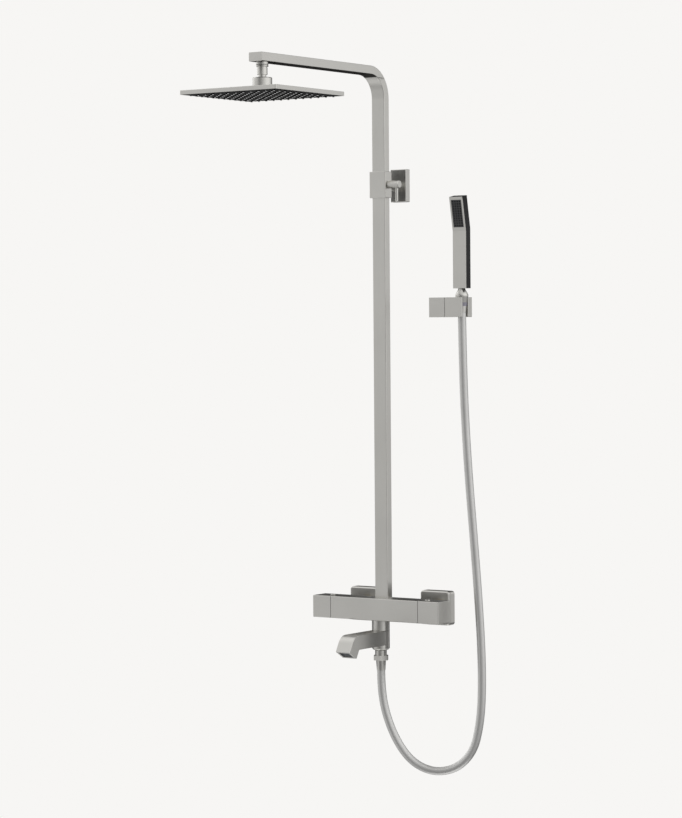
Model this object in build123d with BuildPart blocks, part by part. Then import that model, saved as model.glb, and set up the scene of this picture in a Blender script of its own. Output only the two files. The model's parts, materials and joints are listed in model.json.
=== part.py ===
"""Rainfall shower column: bar mixer, riser with rain head, hand shower, hose and wall bracket.

Millimetres. X runs along the mixer bar, Y runs into the wall, whose face is y = 0, and Z is up.
The origin is the midpoint between the two wall inlets.
"""
import math
import os

from build123d import *

# ---- driving dimensions -------------------------------------------------
inlet_spacing = 150.0
inlet_x = inlet_spacing / 2

# mixer bar
bar_size = 39.0
bar_half = bar_size / 2
bar_y = -77.5
bar_rear = bar_y + bar_half
bar_end = 132.0
left_seam = 94.0
right_seam = 90.0
seam_gap = 0.8
edge_round = 1.2
main_bore = 13.5

# wall connection
waterway = 8.0
thread_g12 = 10.48
thread_g34 = 13.2
thread_depth = 15.0
union_front = -43.5
washer = 1.3
tail_face = union_front - washer
tail_flange = 2.2
tail_lip = tail_face - tail_flange
tail_radius = 11.0
check_bore = 8.7
nut_across_flats = 30.0
nut_lip = 2.5
nut_rear = -33.0
rosette_size = 60.0
rosette_depth = 19.0
rosette_bevel = 2.1
rosette_seam = 12.4

# knobs and their buttons
knob_wall = 2.2
knob_end_wall = 3.0
knob_inner = bar_half - knob_wall
spindle = 4.0
hub = 7.2
button = 4.5
button_proud = 1.5
button_flange = 5.2
well_floor = 10.8
well_base = 9.8
spring_radius = 3.9
spring_wire = 0.4

# riser and shower arm
riser_width = 26.5
riser_depth = 15.0
riser_wall = 1.7
riser_y = -67.5
arm_z = 942.5
arm_tube_end = -435.0
arm_cap = 2.0
bend_radius = 47.5
riser_plug = 40.0
nipple = 6.0
nipple_bore = 3.5

# rain head and its ball joint
head_y = -418.0
head_size = 195.0
head_thick = 7.0
head_top = 887.0
head_base = head_top - head_thick
head_wall = 1.5
nozzle_pitch = 15.3
nozzle_rows = 12
ball_z = 899.5
ball = 10.5
seat_inner = ball + 0.08
seat_outer = 12.4
socket = 12.5
nut_top = 909.3

# spout and hose outlet
collar_radius = 15.6
collar_base = -37.6
spout_top = -38.0
spout_thick = 25.0
spout_base = -72.0
spout_width = 29.5
spout_corner_y = -181.2
spout_turn = 60.0
spout_tip = 31.3
spout_outer_bend = 24.0
swivel = 9.0
outlet_top = -72.4
outlet_base = -82.1
sleeve_end = -108.1

# hose
hose_radius = 7.15

# hand shower holder and hand shower
holder_left = 85.3
holder_split = 117.4
holder_right = 151.1
holder_front = -46.9
holder_rear = -10.0
holder_base_z = 512.1
holder_top_z = 546.5
tilt_y = -28.45
tilt_z = (holder_base_z + holder_top_z) / 2
pivot_radius = 5.0
cone_x = 144.2
cone_y = -32.5
slot_half = 8.85
cone_base = 520.1
handset_width = 26.6
handset_depth = 15.8
handset_front = cone_y - 7.35
handset_base = 562.0
handset_bend = 661.0
handset_lean = 10.8
handset_head = 60.3
front_skin = 0.9
shell_wall = 1.8

# wall bracket on the riser
bracket_z = 745.0
bracket_width = 33.5
bracket_height = 46.0
bracket_front = -78.5
bracket_rear = -58.0
plate_width = 33.0
plate_height = 58.0
plate_thick = 12.0
lever_y = -68.0
lever_end = 40.0
lever_pin_x = 33.5

os.makedirs("parts", exist_ok=True)


# ---- helpers ------------------------------------------------------------
def save(piece, name):
    """Label a finished piece and write its STEP file."""
    piece.part.label = name
    export_step(piece.part, f"parts/{name}.step")


def profile(plane, points):
    """A closed straight-sided face on a plane."""
    with BuildSketch(plane) as face:
        with BuildLine():
            Polyline(*points, close=True)
        make_face()
    return face.sketch


def upright(x, y):
    """Turning plane (radius, z) of a vertical axis."""
    return Plane(origin=(x, y, 0), x_dir=(1, 0, 0), z_dir=(0, -1, 0))


def upright_axis(x, y):
    """Vertical axis through x, y."""
    return Axis((x, y, 0), (0, 0, 1))


def inlet_plane(x):
    """Turning plane (y, radius) of an axis that runs into the wall."""
    return Plane.YZ.offset(x)


def inlet_axis(x, z=0.0):
    """Axis into the wall through x, z."""
    return Axis((x, 0, z), (0, 1, 0))


bar_plane = Plane(origin=(0, bar_y, 0), x_dir=(1, 0, 0), z_dir=(0, -1, 0))
bar_axis = Axis((0, bar_y, 0), (1, 0, 0))


# ---- mixer body and its waterways ---------------------------------------
body_left = -(left_seam - seam_gap / 2)
body_right = right_seam - seam_gap / 2
with BuildPart() as mixer_body:
    with Locations(((body_left + body_right) / 2, bar_y, 0)):
        Box(body_right - body_left, bar_size, bar_size)
    fillet(mixer_body.edges().filter_by(Axis.X), edge_round)
    for x in (-inlet_x, inlet_x):
        tail = [(bar_rear - 3, 0), (bar_rear - 3, tail_radius), (tail_lip, tail_radius),
                (tail_lip, 12.8), (tail_face, 12.8), (tail_face, 0)]
        revolve(profile(inlet_plane(x), tail), axis=inlet_axis(x))
    with Locations(Location(((body_left + body_right) / 2, bar_y, 0), (0, 90, 0))):
        Cylinder(main_bore, body_right - body_left, mode=Mode.SUBTRACT)
    for x in (-inlet_x, inlet_x):
        inlet = [(bar_y + 5, 0), (bar_y + 5, check_bore), (tail_face, check_bore), (tail_face, 0)]
        revolve(profile(inlet_plane(x), inlet), axis=inlet_axis(x), mode=Mode.SUBTRACT)
    with Locations((0, riser_y, bar_half / 2)):
        Cylinder(nipple + 0.05, bar_half, mode=Mode.SUBTRACT)
    with Locations((0, bar_y, -bar_half / 2)):
        Cylinder(swivel + 0.05, bar_half, mode=Mode.SUBTRACT)
save(mixer_body, "mixer_body")

for side, name in ((-1, "left"), (1, "right")):
    x = side * inlet_x
    with BuildPart() as wall_union:
        union = [(thread_depth, waterway), (thread_depth, thread_g12 - 1), (thread_depth - 1, thread_g12),
                 (0, thread_g12), (0, thread_g34), (union_front, thread_g34), (union_front, waterway)]
        revolve(profile(inlet_plane(x), union), axis=inlet_axis(x))
    save(wall_union, f"wall_union_{name}")

    with BuildPart() as union_nut:
        with BuildSketch(Plane.XZ.offset(-nut_rear)):
            with Locations((x, 0)):
                RegularPolygon(nut_across_flats / 2, 6, major_radius=False, rotation=30)
        extrude(amount=nut_rear - tail_lip + nut_lip)
        cavity = [(nut_rear + 1, 0), (nut_rear + 1, thread_g34 + 0.1), (tail_lip, thread_g34 + 0.1),
                  (tail_lip, tail_radius + 0.1), (tail_lip - nut_lip - 1, tail_radius + 0.1),
                  (tail_lip - nut_lip - 1, 0)]
        revolve(profile(inlet_plane(x), cavity), axis=inlet_axis(x), mode=Mode.SUBTRACT)
    save(union_nut, f"union_nut_{name}")

    with BuildPart() as rosette:
        with BuildSketch(Plane.XZ):
            with Locations((x, 0)):
                RectangleRounded(rosette_size, rosette_size, 5)
        extrude(amount=rosette_depth)
        chamfer(rosette.faces().sort_by(Axis.Y)[0].edges(), rosette_bevel)
        with BuildSketch(Plane.XZ):
            with Locations((x, 0)):
                RectangleRounded(rosette_size - 4, rosette_size - 4, 3.2)
        extrude(amount=rosette_depth - 2.4, mode=Mode.SUBTRACT)
        with BuildSketch(Plane.XZ):
            with Locations((x, 0)):
                Circle(thread_g34 + 0.4)
        extrude(amount=rosette_depth, mode=Mode.SUBTRACT)
        with BuildSketch(Plane.XZ.offset(rosette_seam)):
            with Locations((x, 0)):
                RectangleRounded(rosette_size + 2, rosette_size + 2, 6)
                RectangleRounded(rosette_size - 1.4, rosette_size - 1.4, 4.3, mode=Mode.SUBTRACT)
        extrude(amount=0.7, mode=Mode.SUBTRACT)
    save(rosette, f"rosette_{name}")

# sealing washer with a mesh cup, one in each inlet
with BuildPart() as inlet_filters:
    for x in (-inlet_x, inlet_x):
        cup = [(union_front, 6.2), (union_front, 12.6), (tail_face, 12.6), (tail_face, 7.6),
               (tail_face - 4.4, 7.6), (tail_face - 4.4, 0), (tail_face - 3.8, 0), (tail_face - 3.8, 6.2)]
        revolve(profile(inlet_plane(x), cup), axis=inlet_axis(x))
        with BuildSketch(Plane.XZ.offset(-tail_face + 3.0)):
            with Locations((x, 0)):
                with GridLocations(2.6, 2.6, 3, 3):
                    Circle(0.9)
        extrude(amount=2.0, mode=Mode.SUBTRACT)
save(inlet_filters, "inlet_filters")

# non-return valves behind the filters
with BuildPart() as check_valves:
    for x in (-inlet_x, inlet_x):
        housing = [(-50, 7), (-50, 8.55), (-60, 8.55), (-60, 5.2), (-58.6, 5.2), (-58.6, 7)]
        revolve(profile(inlet_plane(x), housing), axis=inlet_axis(x))
        poppet = [(-51, 0), (-51, 1.4), (-56, 1.4), (-58, 4.6), (-58.6, 4.6), (-58.6, 0)]
        revolve(profile(inlet_plane(x), poppet), axis=inlet_axis(x))
        with Locations((x, -53, 0)):
            Box(14.8, 2, 1.6)
            Box(1.6, 2, 14.8)
save(check_valves, "check_valves")

with BuildPart() as thermostatic_cartridge:
    steps = [(-46, 0), (-46, 10.5), (-52, 10.5), (-52, 13.3), (-62, 13.3), (-62, 10), (-68, 10), (-68, 13.3),
             (-70, 13.3), (-70, 10), (-80, 10), (-80, 13.3), (-92.5, 13.3), (-92.5, spindle),
             (-120, spindle), (-120, 0)]
    revolve(profile(bar_plane, steps), axis=bar_axis)
save(thermostatic_cartridge, "thermostatic_cartridge")

with BuildPart() as flow_cartridge:
    steps = [(46, 0), (46, 13.3), (60, 13.3), (60, 10), (82, 10), (82, 13.3), (88.6, 13.3),
             (88.6, spindle), (118, spindle), (118, 0)]
    revolve(profile(bar_plane, steps), axis=bar_axis)
save(flow_cartridge, "flow_cartridge")

# stop rings on the two ends of the body, each with a lug at either end of its knob's travel
stop_radius = 9.2
stop_thick = 4.9
stop_lug = 2.5
with BuildPart() as knob_stop_rings:
    for side, face, lug_turns in ((-1, -body_left, (105, 165)), (1, body_right, (135, -135))):
        with BuildSketch(Plane.YZ.offset(side * face)):
            with Locations((bar_y, 0)):
                Circle(stop_radius)
                Circle(spindle + 1, mode=Mode.SUBTRACT)
        extrude(amount=side * stop_thick)
        lug_x = side * (face + stop_thick + stop_lug / 2)
        lug_place = (stop_radius + spindle + 1) / 2
        for lug_turn in lug_turns:
            lug_y = bar_y + side * lug_place * math.sin(math.radians(lug_turn))
            lug_z = -lug_place * math.cos(math.radians(lug_turn))
            with Locations(Location((lug_x, lug_y, lug_z), (side * lug_turn, 0, 0))):
                Box(stop_lug, 4, 3.6)
save(knob_stop_rings, "knob_stop_rings")


# ---- knobs, their screws, springs and buttons ---------------------------
def make_knob(side, seam, button_x):
    """Square hollow knob with a spline hub, a stop tab and a button well."""
    inner_end = bar_end - knob_end_wall
    hub_start = seam + 7.5
    with BuildPart() as knob:
        with Locations((side * (seam + bar_end) / 2, bar_y, 0)):
            Box(bar_end - seam, bar_size, bar_size)
        fillet(knob.edges().filter_by(Axis.X), edge_round)
        outer_face = knob.faces().sort_by(Axis.X)[-1 if side > 0 else 0]
        fillet(outer_face.edges(), edge_round * 0.8)
        with Locations((side * (seam + inner_end) / 2, bar_y, 0)):
            Box(inner_end - seam, 2 * knob_inner, 2 * knob_inner, mode=Mode.SUBTRACT)
        with Locations(Location((side * (hub_start + inner_end) / 2, bar_y, 0), (0, 90, 0))):
            Cylinder(hub, inner_end - hub_start)
        with Locations((side * (hub_start - 0.8), bar_y, -(spindle + stop_radius) / 2 - 0.6)):
            Box(4.4, 4, stop_radius - spindle - 1.4)
        with Locations((side * button_x, bar_y, (well_base + knob_inner) / 2)):
            Box(13, 13, knob_inner - well_base + 0.2)
        with Locations((side * button_x, bar_y, well_floor)):
            Cylinder(button_flange + 0.3, knob_inner - well_floor, mode=Mode.SUBTRACT,
                     align=(Align.CENTER, Align.CENTER, Align.MIN))
            Cylinder(button + 0.1, bar_size, mode=Mode.SUBTRACT,
                     align=(Align.CENTER, Align.CENTER, Align.MIN))
        with Locations(Location((side * hub_start, bar_y, 0), (0, side * 90, 0))):
            Cylinder(spindle + 0.1, inner_end - hub_start, mode=Mode.SUBTRACT,
                     align=(Align.CENTER, Align.CENTER, Align.MIN))
        with Locations((side * (seam + 21), bar_y, -bar_half)):
            Cylinder(2.05, bar_half - spindle, mode=Mode.SUBTRACT,
                     align=(Align.CENTER, Align.CENTER, Align.MIN))
    return knob


def make_button(side, button_x):
    """Stop button: a flanged cap that stands a little out of the knob's top."""
    with BuildPart() as cap:
        shape = [(0, knob_inner - 1.4), (button_flange, knob_inner - 1.4), (button_flange, knob_inner - 0.2),
                 (button, knob_inner - 0.2), (button, bar_half + button_proud - 0.4),
                 (button - 0.4, bar_half + button_proud), (0, bar_half + button_proud)]
        revolve(profile(upright(side * button_x, bar_y), shape), axis=upright_axis(side * button_x, bar_y))
    return cap


def make_spring(side, button_x):
    """Three-turn coil spring under a button."""
    base = well_floor + spring_wire + 0.05
    with BuildPart() as coil:
        with BuildLine(Plane((side * button_x, bar_y, base))) as wire:
            Helix(pitch=1.3, height=3.9, radius=spring_radius)
        with BuildSketch(wire.line ^ 0):
            Circle(spring_wire)
        sweep(is_frenet=True)
    return coil


def make_knob_screw(side, seam):
    """Grub screw that clamps a knob's hub on its spindle."""
    with BuildPart() as grub:
        with Locations((side * (seam + 21), bar_y, -spindle - 0.3)):
            Cylinder(2.0, 7, align=(Align.CENTER, Align.CENTER, Align.MAX))
        with Locations((side * (seam + 21), bar_y, -spindle - 7.3)):
            with BuildSketch(Plane.XY.offset(-spindle - 7.3)):
                with Locations((side * (seam + 21), bar_y)):
                    RegularPolygon(1.0, 6, major_radius=False)
            extrude(amount=2.5, mode=Mode.SUBTRACT)
    return grub


for side, seam, button_x, name in ((-1, left_seam + seam_gap / 2, 101.5, "temperature"),
                                   (1, right_seam + seam_gap / 2, 98.5, "flow")):
    save(make_knob(side, seam, button_x), f"{name}_knob")
    save(make_knob_screw(side, seam), f"{name}_knob_screw")
    save(make_spring(side, button_x), f"{name}_spring")
    save(make_button(side, button_x), f"{name}_button")

# ---- spout that swivels on a fixed tube ---------------------------------
with BuildPart() as spout_collar:
    ring = [(swivel + 0.05, -bar_half), (collar_radius, -bar_half), (collar_radius, collar_base),
            (swivel + 0.05, collar_base)]
    revolve(profile(upright(0, bar_y), ring), axis=upright_axis(0, bar_y))
save(spout_collar, "spout_collar")

ring_heights = (-44.0, -66.0)
with BuildPart() as swivel_tube:
    tube = [(6, -12), (swivel, -12), (swivel, outlet_top), (8, outlet_top), (8, -80), (6, -80)]
    revolve(profile(upright(0, bar_y), tube), axis=upright_axis(0, bar_y))
    for z in ring_heights:
        groove = [(7.1, z - 1.1), (swivel + 1, z - 1.1), (swivel + 1, z + 1.1), (7.1, z + 1.1)]
        revolve(profile(upright(0, bar_y), groove), axis=upright_axis(0, bar_y), mode=Mode.SUBTRACT)
    for turn in ((90, 0, 0), (0, 90, 0)):
        with Locations(Location((0, bar_y, -52), turn)):
            Cylinder(3.6, 2 * swivel + 2, mode=Mode.SUBTRACT)
save(swivel_tube, "swivel_tube")

with BuildPart() as spout_o_rings:
    for z in ring_heights:
        with Locations((0, bar_y, z)):
            Torus(8.05, 0.9)
save(spout_o_rings, "spout_o_rings")

turn = math.radians(spout_turn)
tip_y = spout_corner_y - spout_tip * math.cos(turn)
tip_z = spout_top - spout_tip * math.sin(turn)
lip_y = tip_y + spout_thick * math.sin(turn)
lip_z = tip_z - spout_thick * math.cos(turn)
under_z = spout_top - spout_thick
under_y = lip_y + (under_z - lip_z) / math.tan(turn)
outlet_plane = Plane(origin=(0, (tip_y + lip_y) / 2, (tip_z + lip_z) / 2), x_dir=(1, 0, 0),
                     z_dir=(0, -math.cos(turn), -math.sin(turn)))
with BuildPart() as spout:
    with BuildSketch(Plane.YZ) as spout_side:
        with BuildLine():
            Polyline((bar_y, spout_top), (spout_corner_y, spout_top), (tip_y, tip_z), (lip_y, lip_z),
                     (under_y, under_z), (bar_y, under_z), close=True)
        make_face()
        fillet(spout_side.vertices().sort_by_distance((spout_corner_y, spout_top, 0))[0], spout_outer_bend)
        fillet(spout_side.vertices().sort_by_distance((under_y, under_z, 0))[0], 2.5)
    extrude(amount=spout_width / 2, both=True)
    fillet(spout.faces().filter_by(Axis.X).edges(), 0.8)
    hub_shape = [(0, spout_top), (collar_radius, spout_top), (collar_radius, spout_base + 2.6),
                 (collar_radius - 2.6, spout_base), (0, spout_base)]
    revolve(profile(upright(0, bar_y), hub_shape), axis=upright_axis(0, bar_y))
    with Locations((0, bar_y, spout_top)):
        Cylinder(swivel + 0.08, 40, mode=Mode.SUBTRACT, align=(Align.CENTER, Align.CENTER, Align.MAX))
    chamber = [(0, -58), (12.2, -58), (12.2, -47), (0, -47)]
    revolve(profile(upright(0, bar_y), chamber), axis=upright_axis(0, bar_y), mode=Mode.SUBTRACT)
    with Locations((0, (bar_y - 178) / 2, -50.5)):
        Box(19.5, 178 + bar_y, 13, mode=Mode.SUBTRACT)
    with BuildSketch(outlet_plane):
        Rectangle(21, 17)
    extrude(amount=-20, mode=Mode.SUBTRACT)
save(spout, "spout")

with BuildPart() as spout_aerator:
    with BuildSketch(outlet_plane.offset(-1.5)):
        Rectangle(20.6, 16.6)
    extrude(amount=-8)
    with BuildSketch(outlet_plane.offset(-1.5)):
        with GridLocations(2.6, 2.6, 7, 5):
            Circle(0.8)
    extrude(amount=-3, mode=Mode.SUBTRACT)
save(spout_aerator, "spout_aerator")

# ---- hose outlet, nut, washer and sleeve --------------------------------
nut_base = -90.4
with BuildPart() as hose_outlet:
    neck = [(8.05, outlet_top), (9.6, outlet_top), (10.4, outlet_top - 0.8), (10.4, outlet_base),
            (10.1, outlet_base), (10.1, -86.5), (6, -86.5), (6, -80.4), (8.05, -80.4)]
    revolve(profile(upright(0, bar_y), neck), axis=upright_axis(0, bar_y))
save(hose_outlet, "hose_outlet")

with BuildPart() as hose_washer:
    ring = [(5.6, -86.5), (9.8, -86.5), (9.8, -88), (5.6, -88)]
    revolve(profile(upright(0, bar_y), ring), axis=upright_axis(0, bar_y))
save(hose_washer, "hose_washer")

with BuildPart() as hose_nut:
    with BuildSketch(Plane.XY.offset(nut_base)):
        with Locations((0, bar_y)):
            RegularPolygon(24.7 / 2, 6, major_radius=False)
    extrude(amount=outlet_base - nut_base)
    cavity = [(0, outlet_base + 1), (10.25, outlet_base + 1), (10.25, -89.2), (8.85, -89.2),
              (8.85, nut_base - 1), (0, nut_base - 1)]
    revolve(profile(upright(0, bar_y), cavity), axis=upright_axis(0, bar_y), mode=Mode.SUBTRACT)
save(hose_nut, "hose_nut")

with BuildPart() as hose_sleeve:
    taper = [(5, -88), (9.9, -88), (9.9, -89.2), (8.65, -89.2), (8.65, -91.5), (7.65, sleeve_end),
             (5, sleeve_end)]
    revolve(profile(upright(0, bar_y), taper), axis=upright_axis(0, bar_y))
save(hose_sleeve, "hose_sleeve")

# The hose lies in the upright plane through its outlet and the hand shower's cone.
# Each point is (distance out along that plane, height).
hose_route = [(0, -108.1), (0, -142), (9, -189), (29, -236), (57.5, -271), (97, -286), (138, -277),
              (167.5, -246), (178.5, -201), (183, -152), (183, -80), (178.5, 10), (170, 125), (160.6, 245),
              (154.3, 360), (151.9, 455), (151.06, 519.8)]
hose_span = math.hypot(cone_x, cone_y - bar_y)
hose_points = [(cone_x * s / hose_span, bar_y + (cone_y - bar_y) * s / hose_span, z) for s, z in hose_route]
corner_radii = []
for before, corner, after in zip(hose_points, hose_points[1:], hose_points[2:]):
    first = Vector(*corner) - Vector(*before)
    second = Vector(*after) - Vector(*corner)
    half_turn = math.radians(first.get_angle(second) / 2)
    corner_radii.append(0.45 * min(first.length, second.length) / math.tan(half_turn))
with BuildPart() as shower_hose:
    with BuildLine() as hose_line:
        FilletPolyline(*hose_points, radius=corner_radii)
    with BuildSketch(hose_line.line ^ 0):
        Circle(hose_radius)
    sweep()
save(shower_hose, "shower_hose")
hose_length = hose_line.wires()[0].length
expected = math.pi * hose_radius ** 2 * hose_length
print("hose length", round(hose_length, 1), "radii", [round(r) for r in corner_radii])
print("hose volume over section times length", round(shower_hose.part.volume / expected, 4))

# ---- riser pipe and shower arm ------------------------------------------
with BuildPart() as riser_nipple:
    tube = [(nipple_bore, 8), (nipple, 8), (nipple, 37), (4.6, 37), (4.6, 39), (nipple, 39), (nipple, 50),
            (nipple_bore, 50)]
    revolve(profile(upright(0, riser_y), tube), axis=upright_axis(0, riser_y))
save(riser_nipple, "riser_nipple")

with BuildPart() as riser_o_ring:
    with Locations((0, riser_y, 38)):
        Torus(5.35, 0.7)
save(riser_o_ring, "riser_o_ring")

grub_z = 28.0
with BuildPart() as riser_pipe:
    with BuildLine() as riser_line:
        FilletPolyline((0, riser_y, bar_half), (0, riser_y, arm_z), (0, arm_tube_end, arm_z),
                       radius=bend_radius)
    with BuildSketch(Plane((0, riser_y, bar_half))) as riser_section:
        Rectangle(riser_width, riser_depth)
        fillet(riser_section.vertices(), 1.2)
        Rectangle(riser_width - 2 * riser_wall, riser_depth - 2 * riser_wall, mode=Mode.SUBTRACT)
    sweep()
    with Locations((0, riser_y, bar_half)):
        Box(riser_width - riser_wall, riser_depth - riser_wall, riser_plug,
            align=(Align.CENTER, Align.CENTER, Align.MIN))
        Cylinder(nipple + 0.1, riser_plug, mode=Mode.SUBTRACT, align=(Align.CENTER, Align.CENTER, Align.MIN))
    with Locations(Location((-riser_width / 4 - nipple / 2, riser_y, grub_z), (0, 90, 0))):
        Cylinder(2.05, riser_width / 2 - nipple + 2, mode=Mode.SUBTRACT)
    with Locations((0, head_y, arm_z - riser_depth / 2)):
        Cylinder(7.05, 5, mode=Mode.SUBTRACT)
save(riser_pipe, "riser_pipe")

with BuildPart() as riser_grub_screw:
    with Locations(Location((-12.8, riser_y, grub_z), (0, 90, 0))):
        Cylinder(2.0, 6.6, align=(Align.CENTER, Align.CENTER, Align.MIN))
        Cylinder(1.0, 2.0, mode=Mode.SUBTRACT, align=(Align.CENTER, Align.CENTER, Align.MIN))
save(riser_grub_screw, "riser_grub_screw")

with BuildPart() as arm_end_cap:
    with BuildSketch(Plane.XZ.offset(-arm_tube_end)):
        with Locations((0, arm_z)):
            RectangleRounded(riser_width, riser_depth, 1.2)
    extrude(amount=arm_cap)
    with BuildSketch(Plane.XZ.offset(-arm_tube_end)):
        with Locations((0, arm_z)):
            Rectangle(riser_width - 2 * riser_wall - 0.2, riser_depth - 2 * riser_wall - 0.2)
    extrude(amount=-8)
save(arm_end_cap, "arm_end_cap")

arm_under = arm_z - riser_depth / 2
with BuildPart() as arm_boss:
    ring = [(6.2, arm_under - 8), (10.1, arm_under - 8), (10.1, arm_under), (7, arm_under),
            (7, arm_under + 3), (6.2, arm_under + 3)]
    revolve(profile(upright(0, head_y), ring), axis=upright_axis(0, head_y))
save(arm_boss, "arm_boss")

with BuildPart() as ball_stem:
    stem = [(0, 936), (6.15, 936), (6.15, 927), (7.6, 927), (7.6, 925.5), (8.6, 925.5), (8.6, 913.8),
            (6.45, 913.8), (6.45, ball_z), (0, ball_z)]
    revolve(profile(upright(0, head_y), stem), axis=upright_axis(0, head_y))
    with Locations((0, head_y, ball_z)):
        Sphere(ball)
    with Locations((0, head_y, ball_z)):
        Cylinder(3.2, 100, mode=Mode.SUBTRACT)
save(ball_stem, "ball_stem")

# ---- rain head on its ball joint ----------------------------------------
def make_seat(low_angle, high_angle):
    """Ring with spherical faces that holds the ball; the angles are measured up from level."""
    with BuildPart() as seat:
        with BuildSketch(Plane(origin=(0, head_y, ball_z), x_dir=(1, 0, 0), z_dir=(0, -1, 0))):
            with BuildLine():
                outer = CenterArc((0, 0), seat_outer, low_angle, high_angle - low_angle)
                inner = CenterArc((0, 0), seat_inner, low_angle, high_angle - low_angle)
                Line(outer @ 0, inner @ 0)
                Line(outer @ 1, inner @ 1)
            make_face()
        revolve(axis=upright_axis(0, head_y))
    return seat


save(make_seat(6, 34), "seat_upper")
save(make_seat(-40, -6), "seat_lower")

with BuildPart() as swivel_nut:
    outside = [(0, head_top), (15.6, head_top), (16.2, head_top + 0.6), (16.2, nut_top - 1), (15.2, nut_top),
               (0, nut_top)]
    revolve(profile(upright(0, head_y), outside), axis=upright_axis(0, head_y))
    with Locations((0, head_y, ball_z)):
        Sphere(socket, mode=Mode.SUBTRACT)
        Cylinder(socket, ball_z - head_top, mode=Mode.SUBTRACT, align=(Align.CENTER, Align.CENTER, Align.MAX))
        Cylinder(10, 20, mode=Mode.SUBTRACT, align=(Align.CENTER, Align.CENTER, Align.MIN))
save(swivel_nut, "swivel_nut")

head_inner = head_size - 2 * head_wall
with BuildPart() as head_shell:
    with BuildSketch(Plane.XY.offset(head_base)):
        with Locations((0, head_y)):
            RectangleRounded(head_size, head_size, 2)
    extrude(amount=head_thick)
    fillet(head_shell.faces().sort_by(Axis.Z)[-1].edges(), 0.8)
    with BuildSketch(Plane.XY.offset(head_base)):
        with Locations((0, head_y)):
            Rectangle(head_inner, head_inner)
    extrude(amount=head_thick - head_wall, mode=Mode.SUBTRACT)
    with Locations((0, head_y, head_top)):
        Cylinder(socket - 0.1, 4.4, align=(Align.CENTER, Align.CENTER, Align.MIN))
    with Locations((0, head_y, ball_z)):
        Sphere(socket, mode=Mode.SUBTRACT)
        Cylinder(5, 20, mode=Mode.SUBTRACT, align=(Align.CENTER, Align.CENTER, Align.MAX))
save(head_shell, "head_shell")

with BuildPart() as head_faceplate:
    with BuildSketch(Plane.XY.offset(head_base)):
        with Locations((0, head_y)):
            Rectangle(head_inner - 0.2, head_inner - 0.2)
            with GridLocations(nozzle_pitch, nozzle_pitch, nozzle_rows, nozzle_rows):
                Circle(2.1, mode=Mode.SUBTRACT)
    extrude(amount=head_wall)
save(head_faceplate, "head_faceplate")

with BuildPart() as nozzle_mat:
    with BuildSketch(Plane.XY.offset(head_base + head_wall)):
        with Locations((0, head_y)):
            Rectangle(head_inner - 4, head_inner - 4)
    extrude(amount=1.2)
    with BuildSketch(Plane.XY.offset(head_base + head_wall)):
        with Locations((0, head_y)):
            with GridLocations(nozzle_pitch, nozzle_pitch, nozzle_rows, nozzle_rows):
                Circle(1.9)
    extrude(amount=-4.0, taper=6)
save(nozzle_mat, "nozzle_mat")

# ---- wall bracket that slides and clamps on the riser -------------------
with BuildPart() as bracket_collar:
    with Locations((0, (bracket_front + bracket_rear) / 2, bracket_z)):
        Box(bracket_width, bracket_rear - bracket_front, bracket_height)
    fillet(bracket_collar.edges().filter_by(Axis.Z), 1.0)
    chamfer(bracket_collar.faces().filter_by(Axis.Z).edges(), 0.6)
    with Locations((0, riser_y, bracket_z)):
        Box(riser_width + 0.8, riser_depth + 0.8, bracket_height, mode=Mode.SUBTRACT)
    with Locations((riser_width / 2 + 0.8, riser_y, bracket_z)):
        Box(2.4, 10.4, 16.4, mode=Mode.SUBTRACT)
    with Locations(Location((riser_width / 2, lever_y, bracket_z), (0, 90, 0))):
        Cylinder(3.08, 10, mode=Mode.SUBTRACT, align=(Align.CENTER, Align.CENTER, Align.MIN))
save(bracket_collar, "bracket_collar")

with BuildPart() as bracket_stem:
    with BuildSketch(Plane.XZ.offset(-bracket_rear)):
        with Locations((0, bracket_z)):
            Circle(10)
    extrude(amount=bracket_rear + plate_thick)
save(bracket_stem, "bracket_stem")

fixing_half = 19.0
with BuildPart() as bracket_wall_plate:
    with BuildSketch(Plane.XZ):
        with Locations((0, bracket_z + 0.5)):
            Rectangle(plate_width, plate_height)
    extrude(amount=plate_thick)
    fillet(bracket_wall_plate.edges().filter_by(Axis.Y), 1.0)
    chamfer(bracket_wall_plate.faces().sort_by(Axis.Y)[0].edges(), 1.0)
    for z in (bracket_z - fixing_half, bracket_z + fixing_half):
        with Locations(Location((0, 0, z), (90, 0, 0))):
            Cylinder(3.55, 9, mode=Mode.SUBTRACT, align=(Align.CENTER, Align.CENTER, Align.MIN))
save(bracket_wall_plate, "bracket_wall_plate")

with BuildPart() as bracket_screws:
    for z in (bracket_z - fixing_half, bracket_z + fixing_half):
        screw = [(-8.8, 0), (-8.8, 3.5), (0, 3.5), (0, 3), (15, 3), (19, 0.6), (19, 0)]
        screw_plane = Plane(origin=(0, 0, z), x_dir=(0, 1, 0), z_dir=(1, 0, 0))
        revolve(profile(screw_plane, screw), axis=inlet_axis(0, z))
save(bracket_screws, "bracket_screws")

with BuildPart() as clamp_pad:
    with Locations((riser_width / 2 + 1.15, riser_y, bracket_z)):
        Box(1.6, 10, 16)
save(clamp_pad, "clamp_pad")

rod_start = bracket_width / 2 + 0.3
with BuildPart() as clamp_screw:
    rod = [(riser_width / 2 + 2.2, 0), (riser_width / 2 + 2.2, 3), (rod_start, 3), (rod_start, 6.3),
           (rod_start + 0.4, 6.7), (lever_end - 1, 6.7), (lever_end, 5.7), (lever_end, 0)]
    rod_plane = Plane(origin=(0, lever_y, bracket_z), x_dir=(1, 0, 0), z_dir=(0, -1, 0))
    revolve(profile(rod_plane, rod), axis=Axis((0, lever_y, bracket_z), (1, 0, 0)))
    with Locations((lever_pin_x, lever_y, bracket_z + 3.2)):
        Cylinder(2.9, 20, mode=Mode.SUBTRACT, align=(Align.CENTER, Align.CENTER, Align.MAX))
save(clamp_screw, "clamp_screw")

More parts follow.
